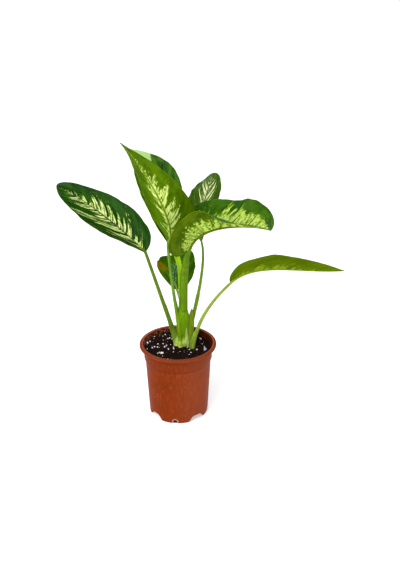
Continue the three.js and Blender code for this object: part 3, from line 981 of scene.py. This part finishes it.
def strap(name, sheath):
    """A sheath as a flattened bar that lies against the cane and runs up a stalk."""
    bm = rod(SHEATH_RINGS, SHEATH_SIDES)
    for vert in bm.verts:
        across, deep, rise = vert.co
        forward = heading(sheath["path"], rise)
        side = forward.cross(Vector(sheath["faces"])).normalized()
        out = side.cross(forward)
        half = cubic(sheath["widths"], rise) * MM
        narrow = math.sqrt(max(1 - rise**8, 0.02)) * (1 - sheath["pointed"] * rise**3 * 0.8)
        curved = -0.25 * half * across**2
        centre = bezier(sheath["path"], rise) + side * (across * half * narrow)
        vert.co = centre + out * (deep * sheath["depth"] * MM * narrow + curved)
    bmesh.ops.recalc_face_normals(bm, faces=bm.faces)
    return as_object(name, bm)


def front_sheath(stem):
    """A thin sheath wrapped part of the way round the cane, pointed at its top and free at its edges."""
    low, high = FRONT_SHEATH
    bm = bmesh.new()
    bmesh.ops.create_grid(bm, x_segments=24, y_segments=32, size=1)
    for vert in bm.verts:
        across, rise = vert.co.x, (vert.co.y + 1) / 2
        narrow = math.sqrt(max(1 - rise**2.6, 0.0025))
        angle = math.radians(FRONT_SHEATH_MIDDLE + FRONT_SHEATH_HALF * across * narrow)
        height = low + (high - low) * rise
        free = 0.3 * MM * (0.4 + 0.6 * abs(across) ** 3) + 0.1 * MM * rise**2.5
        crinkle = noise.noise(Vector((across * 3, rise * 5, FRONT_SHEATH_MIDDLE)))
        radius = stem_reach(stem, height) * 1.03 + free + 0.25 * MM * crinkle
        vert.co = (stem.across + radius * math.sin(angle), stem.back - radius * math.cos(angle), height)
    made = as_object("front_sheath", bm)
    thicken(made, 0.45 * MM)
    return made


def flesh(name, low_tone, high_tone, low, high, dry_tone=None, dry_heights=()):
    """Streaked green tissue of the stem: one tone low down, another above, and perhaps a dry tip."""
    g = Graph(name, low_tone, 0.04)
    place = g.place()
    streaks = g.stretched(place, 640, 22)
    patches = g.noise(place, 120)
    rise = g.split(place)[2] + (patches - 0.5) * 0.02
    g.paint(high_tone, g.ramp(rise, low, high))
    if dry_heights:
        g.paint(dry_tone, g.ramp(rise, *dry_heights))
    g.paint(scaled(high_tone, 0.5), g.ramp(streaks, 0.5, 0.68, 0, 0.6))
    g.paint(STREAK, g.ramp(streaks, 0.46, 0.3, 0, 0.4))
    g.bump(streaks, 0.0004, 0.6)
    return g.finish(g.ramp(patches, 0.3, 0.7, 0.34, 0.5))


class PLANT_OT_stem(Operator):
    """Makes the short cane and the sheaths that wrap it."""

    bl_idname = "plant.stem"
    bl_label = "Stem"

    def execute(self, context):
        stem = context.scene.plant_stem
        skins = {
            # The cane's pale foot is partly its own pale tissue and partly a painted highlight.
            "cane": flesh("cane_skin", stem.pale, stem.young, 0.117, 0.132),
            "front_sheath": flesh("papery_sheath", PAPERY_FOOT, PAPERY_TOP, 0.116, 0.140),
        }
        pieces = [stem_body(stem), front_sheath(stem)]
        for name, sheath in SHEATHS.items():
            tones = (tone(*sheath["foot"]), tone(*sheath["top"]))
            skins[name] = flesh(name + "_skin", *tones, 0.112, 0.140, stem.dry, sheath.get("dry", ()))
            pieces.append(strap(name, sheath))
        for made in pieces:
            smooth(made)
            show(made, ["stem"], [skins[made.name]])
        return {"FINISHED"}


# The leaves

# How the margin swings in and out: turns along the blade, where they start, and share of the width.
MARGIN_SWINGS = ((6.5, 0, 0.055), (17, 9, 0.03))
# Noise that frays the feathering: scale along the midrib, scale across, and strength.
FRAYING = ((30, 2, 0.5), (75, 5, 0.55), (150, 12, 0.3))
UPPER_GLOSS = 0.04
UNDER_GLOSS = 0.01
LEAST_PLUME = 0.08
# The stalk's neck is this far up it, and its groove and wings have a depth or place and a width.
NECK = 0.6
GROOVE_DEPTH = 0.16
GROOVE_WIDTH = 0.5
WING_PLACE = 0.75
WING_WIDTH = 0.17
RIB_SLIMMING = 0.35
RIB_TAPER = 0.88
# Painted glare on the tip of a leaf.
GLARE_TINT = tone(172, 208, 124)
YELLOWED = tone(126, 126, 4)
BROWNED = tone(146, 100, 8)
PALE_FOOT = tone(168, 196, 80)


def width_share(leaf, t):
    """Share of the full half width at t along the midrib."""
    widest, blunt, point = leaf["outline"]
    u = min(max(t, 1e-6), 1) ** (math.log(0.5) / math.log(widest))
    return max(math.sin(math.pi * u), 0) ** (blunt if u < 0.5 else point)


def uneven(leaf, x, y):
    """Noise that is the leaf's own."""
    return noise.noise(Vector((x, y, leaf["seed"])))


def rib_curve(leaf):
    """The midrib's curve, which starts where the stalk ends."""
    return (leaf["stalk"][-1], *leaf["rib"])


def blade_frame(leaf, t):
    """The midrib's direction, the blade's right and its upper side at t along the midrib."""
    along = heading(rib_curve(leaf), t)
    side = along.cross(Vector(leaf["face"])).normalized()
    side = Quaternion(along, math.radians(leaf["twist"] * t)) @ side
    return along, side, side.cross(along)


def vein_root(leaf, settings, t, s):
    """Where along the midrib the side vein through this point of the blade starts."""
    right, left = leaf.get("sweep", (settings.sweep, settings.sweep))
    return t - (left if s < 0 else right) * width_share(leaf, t) * abs(s) ** 1.3


def blade_relief(leaf, settings, t, s):
    """How far the blade puffs up between its side veins."""
    reach = abs(s)
    hand = 1 if s < 0 else 0
    middle = math.sin(math.pi * t) ** 0.5
    root = vein_root(leaf, settings, t, s)
    puff = abs(math.sin(math.pi * (settings.vein_count * root + 0.5 * hand))) ** 0.7
    fade = eased(reach, 0.0, 0.25) * (1 - eased(reach, 0.75, 1.0)) * middle
    broad = 1.1 * MM * uneven(leaf, t * 4, s * 1.6) * eased(reach, 0.1, 0.7)
    edge = 1.8 * MM * uneven(leaf, t * 9, 5 * hand) * eased(reach, 0.55, 1.0) * middle
    return settings.vein_depth * fade * (puff - 0.6) + broad + edge


def blade_place(leaf, settings, t, s):
    """A point of the blade: t along the midrib, s from -1 to 1 across it."""
    along, side, up = blade_frame(leaf, t)
    reach = abs(s)
    hand = 1 if s < 0 else 0
    base, tip = leaf["fold_left"] if hand else leaf["fold_right"]
    curl = leaf["curl"][hand]
    fold = base + (tip - base) * t
    angle = math.radians(fold + curl * reach / 2)
    lean = math.radians(fold + curl * reach) if s else 0
    width = max(leaf["half_width"] * MM * width_share(leaf, t), settings.tip_width)
    swings = [swing * uneven(leaf, t * pace, 31 * hand + start) for pace, start, swing in MARGIN_SWINGS]
    width *= 1 + sum(swings)
    height, count, phase = leaf["wave"]
    ripple = math.sin(FULL_TURN * (count * t + phase) + 2.1 * hand)
    wave = height * MM * reach**2 * ripple * math.sin(math.pi * t)
    lift = blade_relief(leaf, settings, t, s)
    out = width * reach * math.cos(angle) - lift * math.sin(lean)
    rise = width * reach * math.sin(angle) + wave + lift * math.cos(lean)
    return bezier(rib_curve(leaf), t) + side * (-out if hand else out) + up * rise


def cream_reach(leaf, root, s):
    """How far out the pale feathering goes from the midrib, at a vein's root."""
    start, fade, end, right, left = leaf["cream"]
    peak = left if s < 0 else right
    return peak * eased(root, start - 0.02, start + 0.12) * (1 - eased(root, fade, end + 0.04))


def blade(name, leaf, settings):
    """The blade as a fine sheet with its upper side, underside and edge."""
    bm = bmesh.new()
    bmesh.ops.create_grid(bm, x_segments=BLADE_COLUMNS, y_segments=BLADE_ROWS, size=1)
    veins = bm.loops.layers.uv.new("veins")
    cream = bm.verts.layers.float.new("cream")
    for vert in bm.verts:
        s = vert.co.x
        even = (vert.co.y + 1) / 2
        t = (0.35 * even + 0.65 * (0.5 - 0.5 * math.cos(math.pi * even))) ** 1.25
        root = vein_root(leaf, settings, t, s)
        vert[cream] = cream_reach(leaf, root, s)
        for loop in vert.link_loops:
            loop[veins].uv = (root, s)
        vert.co = blade_place(leaf, settings, t, s)
    made = as_object(name + "_blade", bm)
    thick = thicken(made, settings.thickness)
    thick.material_offset = 1
    thick.material_offset_rim = 2
    return made


def stalk_stations(leaf):
    """Centres and frames along the stalk and then along the underside of the midrib."""
    base_radius = leaf["radii"][2] * MM
    stations = []
    along, side, up = blade_frame(leaf, 0)
    for i in range(STALK_RINGS, -1, -1):
        t = i / STALK_RINGS
        forward = heading(leaf["stalk"], t)
        up = (up - forward * up.dot(forward)).normalized()
        stations.insert(0, (bezier(leaf["stalk"], t), up.copy(), forward.cross(up)))
    for i in range(1, RIB_RINGS + 1):
        t = i / RIB_RINGS
        along, side, up = blade_frame(leaf, t)
        drop = rib_radius(base_radius, t) * 0.7 * eased(t, 0, 0.12)
        stations.append((bezier(rib_curve(leaf), t) - up * drop, up, along.cross(up)))
    return stations


def rib_radius(base_radius, t):
    """The midrib is slim under the blade and thins out towards the tip."""
    slim = 1 - RIB_SLIMMING * eased(t, 0, 0.1)
    return base_radius * slim * (1 - RIB_TAPER * t) ** 0.9


def stalk_radius(leaf, ring, angle):
    """The stalk's radius at a ring and an angle from its upper side: grooved, with sheath wings below."""
    foot, neck, base = (r * MM for r in leaf["radii"])
    if ring > STALK_RINGS:
        return rib_radius(base, (ring - STALK_RINGS) / RIB_RINGS)
    rise = ring / STALK_RINGS
    above = max((rise - NECK) / (1 - NECK), 0)
    radius = foot + (neck - foot) * min(rise / NECK, 1) + (base - neck) * above
    sheath = leaf["sheath"]
    open_part = 1 - eased(rise, sheath - 0.04, sheath + 0.02)
    wing = leaf["wing"] * MM * open_part * (0.55 + 0.45 * eased(rise, sheath * 0.5, sheath))
    groove = GROOVE_DEPTH * bell(angle, 0, GROOVE_WIDTH)
    clasp_end, breadth = leaf["clasp"]
    flare = 1 + breadth * (1 - eased(rise, 0, clasp_end)) * abs(math.sin(angle)) ** 2
    return radius * (1 - groove) * flare + wing * bell(abs(angle), WING_PLACE, WING_WIDTH)


def stalk(name, leaf):
    """The stalk and the midrib as one grooved bar."""
    rings = STALK_RINGS + RIB_RINGS
    bm = rod(rings, STALK_SIDES)
    along_layer = bm.verts.layers.float.new("along")
    stations = stalk_stations(leaf)
    for vert in bm.verts:
        ring = round(vert.co.z * rings)
        angle = math.atan2(vert.co.y, vert.co.x)
        reach = math.hypot(vert.co.x, vert.co.y) * stalk_radius(leaf, ring, angle)
        centre, up, across = stations[ring]
        vert[along_layer] = ring / STALK_RINGS
        vert.co = centre + up * (reach * math.cos(angle)) + across * (reach * math.sin(angle))
    bmesh.ops.recalc_face_normals(bm, faces=bm.faces)
    return as_object(name + "_stalk", bm)


def midrib_tone_and_shade(leaf, settings):
    """The midrib's colour on the underside: a leaf's own darker tone, which is painted shade, where it
    gives one, and else the shared green.
    """
    return tone(*leaf["rib_shade_tone"]) if "rib_shade_tone" in leaf else settings.rib


def side_tones(leaf, settings, upper):
    """The dark and bright green of a side, the outer and inner tone of its feathering, and its midrib's."""
    if upper:
        green, bright = (tone(*c) for c in leaf["upper"])
        lime, cream = settings.lime, settings.cream
        rib = scaled(green, 0.7)
    else:
        green, bright = settings.olive, settings.bright_olive
        # The darker underside tones that leaf_tall and leaf_arching give are painted shade.
        if "under" in leaf:
            green, bright = (tone(*c) for c in leaf["under"])
        lime = mixed(settings.lime, settings.olive, 0.4)
        cream = mixed(settings.cream, settings.lime, 0.3)
        # The underside midrib takes the midrib's tone, which for leaf_arching is painted shade.
        rib = scaled(midrib_tone_and_shade(leaf, settings), 0.8)
    # leaf_low's bluish grey pale tones are painted glare.
    if "pale" in leaf:
        lime, cream = (mixed(tone(*c), green, 0 if upper else 0.14) for c in leaf["pale"])
    return green, bright, lime, cream, rib


def leaf_skin(name, leaf, settings, upper):
    """Leaf tissue: pale plumes along the side veins with dark gaps between them, on one of its sides."""
    green, bright, lime, cream, rib = side_tones(leaf, settings, upper)
    g = Graph(name, green, leaf.get("gloss", UPPER_GLOSS) if upper else UNDER_GLOSS)
    root, across, _ = g.split(g.surface("veins"))
    reach = abs(across)
    shifted = g.math("SIGN", across) * 7 + leaf["seed"]

    def strewn(along_scale, across_scale, detail=2, roughness=0.5):
        return g.noise(g.join(root * along_scale, reach * across_scale, shifted), 1, detail, roughness)

    plume = g.ramp(strewn(19, 0.5, 1), 0.36, 0.64, leaf.get("floor", LEAST_PLUME), 1.15)
    swell = g.ramp(strewn(5, 0.3, 1), 0.35, 0.65, 0.75, 1.3)
    edge = g.math("MINIMUM", g.stored("cream") * (plume * swell) - reach, 0.13)
    for along_scale, across_scale, strength in (*FRAYING, (50, 15, 0.35 if upper else 0.75)):
        edge = edge + (strewn(along_scale, across_scale) - 0.5) * strength

    cloud = strewn(6, 2, 3, 0.6)
    hairs = strewn(75, 2.6, 3, 0.6)
    vein = abs(g.math("SINE", root * (math.pi * settings.vein_count)))
    g.paint(bright, g.ramp(cloud, 0.35, 0.65))
    g.paint(bright, g.ramp(vein, 0, 0.2, 0.5, 0))

    flecks = g.ramp(strewn(120, 22, 1), 0.64, 0.7) * g.ramp(edge, -0.3, -0.12)
    gaps = g.ramp(hairs, 0.42, 0.5, 0.12 if upper else 0.45, 1)
    mask = g.math("MAXIMUM", g.ramp(edge, -0.01, 0.03), flecks) * gaps
    if "streaky" in leaf:
        right, left = leaf["streaky"]
        lines = g.ramp(strewn(42, 0.8, 2, 0.6), 0.44, 0.51) * g.ramp(strewn(12, 1.5), 0.36, 0.44, 0.25, 1)
        mask = mask * g.math("MAXIMUM", lines, 1 - g.ramp(across, -0.01, 0.01, left, right))
    g.paint(g.mix(g.ramp(edge, 0, 0.16), lime, cream), mask)

    # Painted glare: a pale green patch on the tip of the upper side.
    if "glare_start" in leaf and upper:
        g.paint(GLARE_TINT, g.ramp(root + cloud * 0.03, leaf["glare_start"], leaf["glare_start"] + 0.03) * 0.85)
    if "blemish" in leaf:
        centre = [c * MM for c in leaf["blemish"]]
        away = Value(g, g.node("VectorMath", [g.place(), centre], operation="DISTANCE").outputs["Value"])
        away = away + (cloud - 0.5) * 0.012
        g.paint(YELLOWED, g.ramp(away, 7 * MM, 20 * MM, 0.85, 0))
        g.paint(BROWNED, g.ramp(away, 3 * MM, 9 * MM, 0.9, 0))
    g.paint(rib, g.ramp(reach, 0.02, 0.045 if upper else 0.05, 0.9, 0))
    g.bump(hairs * 0.6 + cloud * 0.8, 0.0004, 0.45)
    return g.finish(g.ramp(cloud, 0.3, 0.7, 0.2, 0.34) if upper else 0.55)


def stalk_skin(name, leaf, settings):
    """Waxy stalk: fine lengthwise streaks, paler at the foot, and the midrib's colour under the blade."""
    # A leaf's stalk tone; leaf_arching's is darkened in part as painted shade.
    green = tone(*leaf["stalk_tone"])
    g = Graph(name, green, 0.05)
    place = g.place()
    streaks = g.stretched(place, 700, 60)
    blots = g.noise(place, 90)
    g.paint(scaled(green, 0.8), g.ramp(blots, 0.35, 0.65))
    g.paint(mixed(green, settings.cream, 0.16), g.ramp(streaks, 0.52, 0.72, 0, 0.5))
    g.paint(scaled(green, 0.55), g.ramp(streaks, 0.47, 0.32, 0, 0.5))
    g.paint(PALE_FOOT, g.ramp(g.split(place)[2], 0.112, 0.145, 0.55, 0))
    # The midrib end of the bar takes the midrib's tone, which for leaf_arching is painted shade.
    g.paint(midrib_tone_and_shade(leaf, settings), g.ramp(g.stored("along"), 0.97, 1.12))
    g.bump(streaks, 0.0003, 0.5)
    return g.finish(g.ramp(blots, 0.3, 0.7, 0.34, 0.48))


class PLANT_OT_leaves(Operator):
    """Makes the seven leaves, each with its blade and its stalk."""

    bl_idname = "plant.leaves"
    bl_label = "Leaves"

    def execute(self, context):
        settings = context.scene.plant_leaf
        for name, leaf in LEAVES.items():
            skin = stalk_skin(name + "_stalk_skin", leaf, settings)
            upper = leaf_skin(name + "_upper", leaf, settings, True)
            under = leaf_skin(name + "_under", leaf, settings, False)
            sheet = blade(name, leaf, settings)
            smooth(sheet)
            show(sheet, [name], [upper, under, skin])
            bar = stalk(name, leaf)
            smooth(bar)
            show(bar, [name], [skin])
        return {"FINISHED"}


# The stage

FLOOR_SEGMENTS = 96
ROOM_TINT = (0.98, 0.99, 1.0, 1)
OVERHEAD_SOFTNESS = math.radians(50)
OVERHEAD_TURN = (math.radians(28), math.radians(-22), 0)
CAMERA_PLACE = (0.0344, -0.9376, 0.6267)
SENSOR_WIDTH = 36


def pale_floor(stage):
    """The plain floor, which gives off a little light by itself."""
    bm = bmesh.new()
    bmesh.ops.create_circle(bm, cap_ends=True, segments=FLOOR_SEGMENTS, radius=stage.floor_radius)
    floor = as_object("floor", bm)
    g = Graph("pale_floor", stage.floor_tone, 0)
    g.feed(g.shader, {"Emission Strength": stage.floor_glow, "Emission Color": (1, 1, 1)})
    g.paint(scaled(stage.floor_tone, 0.985), g.ramp(g.noise(g.place(), 3, 2, 0.5), 0.3, 0.7))
    floor.data.materials.append(g.finish(0.9))


def room_light(scene, stage):
    """Even light from all round, and a broad light overhead."""
    world = bpy.data.worlds.new("studio")
    world.use_nodes = True
    background = world.node_tree.nodes["Background"]
    background.inputs["Color"].default_value = ROOM_TINT
    background.inputs["Strength"].default_value = stage.room
    scene.world = world
    sky = bpy.data.lights.new("overhead", "SUN")
    sky.energy = stage.overhead
    sky.angle = OVERHEAD_SOFTNESS
    placed("overhead", sky).rotation_euler = OVERHEAD_TURN


def soft_box(name, place, aim, size, power, tint):
    """A soft box at a place, turned to a point."""
    data = bpy.data.lights.new(name, "AREA")
    data.size = size
    data.energy = power
    data.color = tint
    made = placed(name, data)
    made.location = place
    made.rotation_euler = (Vector(aim) - Vector(place)).to_track_quat("-Z", "Y").to_euler()


def camera(scene, stage):
    """The camera, at the photograph's viewing angle."""
    data = bpy.data.cameras.new("camera")
    data.lens = stage.focal
    data.sensor_width = SENSOR_WIDTH
    made = placed("camera", data)
    made.location = CAMERA_PLACE
    made.rotation_euler = (stage.tilt, 0, 0)
    scene.camera = made
    scene.view_settings.view_transform = "Standard"
    scene.view_settings.look = "None"


class PLANT_OT_stage(Operator):
    """Lays the pale floor, and sets the lights and the camera."""

    bl_idname = "plant.stage"
    bl_label = "Stage"

    def execute(self, context):
        stage = context.scene.plant_stage
        pale_floor(stage)
        room_light(context.scene, stage)
        for name, box in SOFT_BOXES.items():
            soft_box(name, *box)
        camera(context.scene, stage)
        return {"FINISHED"}


class PLANT_PT_panel(Panel):
    """Lists the steps that build the plant."""

    bl_idname = "PLANT_PT_panel"
    bl_label = "Potted dieffenbachia"
    bl_space_type = "VIEW_3D"
    bl_region_type = "UI"
    bl_category = "Plant"

    def draw(self, context):
        for step in STEPS:
            self.layout.operator(step.bl_idname)


SETTINGS = {
    "plant_pot": PotSettings,
    "plant_soil": SoilSettings,
    "plant_stem": StemSettings,
    "plant_leaf": LeafSettings,
    "plant_stage": StageSettings,
}
STEPS = (PLANT_OT_pot, PLANT_OT_soil, PLANT_OT_stem, PLANT_OT_leaves, PLANT_OT_stage)


def register():
    for name, group in SETTINGS.items():
        bpy.utils.register_class(group)
        setattr(bpy.types.Scene, name, PointerProperty(type=group))
    for cls in (*STEPS, PLANT_PT_panel):
        bpy.utils.register_class(cls)


def unregister():
    for cls in (PLANT_PT_panel, *reversed(STEPS)):
        bpy.utils.unregister_class(cls)
    for name, group in reversed(SETTINGS.items()):
        delattr(bpy.types.Scene, name)
        bpy.utils.unregister_class(group)


def main():
    register()
    bpy.ops.plant.pot()
    bpy.ops.plant.soil()
    bpy.ops.plant.stem()
    bpy.ops.plant.leaves()
    bpy.ops.plant.stage()


if __name__ == "__main__":
    main()
